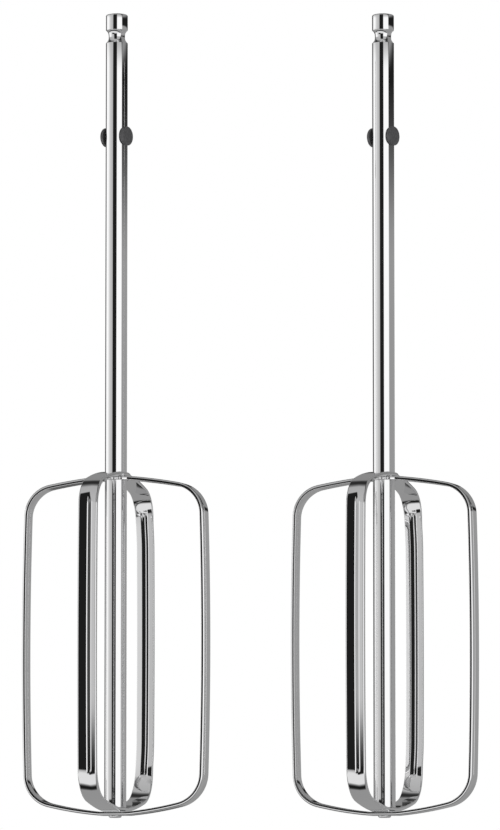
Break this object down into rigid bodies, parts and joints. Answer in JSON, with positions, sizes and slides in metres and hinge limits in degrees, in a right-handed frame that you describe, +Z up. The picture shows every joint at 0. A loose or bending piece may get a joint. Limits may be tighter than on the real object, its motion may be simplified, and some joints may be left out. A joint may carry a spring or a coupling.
{
  "type": "hand mixer beater pair",
  "caption": "Hand mixer beaters: a round drive shaft with detent groove and side lugs carries an outer and a cross loop of flat strip, riveted at the bottom.",
  "frame": {"origin": "midway between the two shafts, level with the lowest point of the bottom rivet heads", "axes": "+Z up the shafts towards the tips that enter the mixer, +X from the left beater to the right beater, +Y to the back"},
  "size_m": [0.104, 0.0432, 0.184],
  "materials": {
    "shaft_steel": "polished",
    "loop_steel": "mirror polished strip with rolled edges",
    "pin_steel": "dull and dark, unpolished"
  },
  "bodies": {
    "left_beater": {"left_shaft": "shaft_steel", "left_drive_pin": "pin_steel", "left_outer_loop": "loop_steel", "left_cross_loop": "loop_steel"},
    "right_beater": {"right_shaft": "shaft_steel", "right_drive_pin": "pin_steel", "right_outer_loop": "loop_steel", "right_cross_loop": "loop_steel"}
  },
  "joints": [
    {"name": "right_beater_spin", "type": "hinge", "parent": "left_beater", "child": "right_beater", "pos_m": [0.0305, 0, 0.092], "axis": [0, 0, 1], "continuous": true}
  ]
}
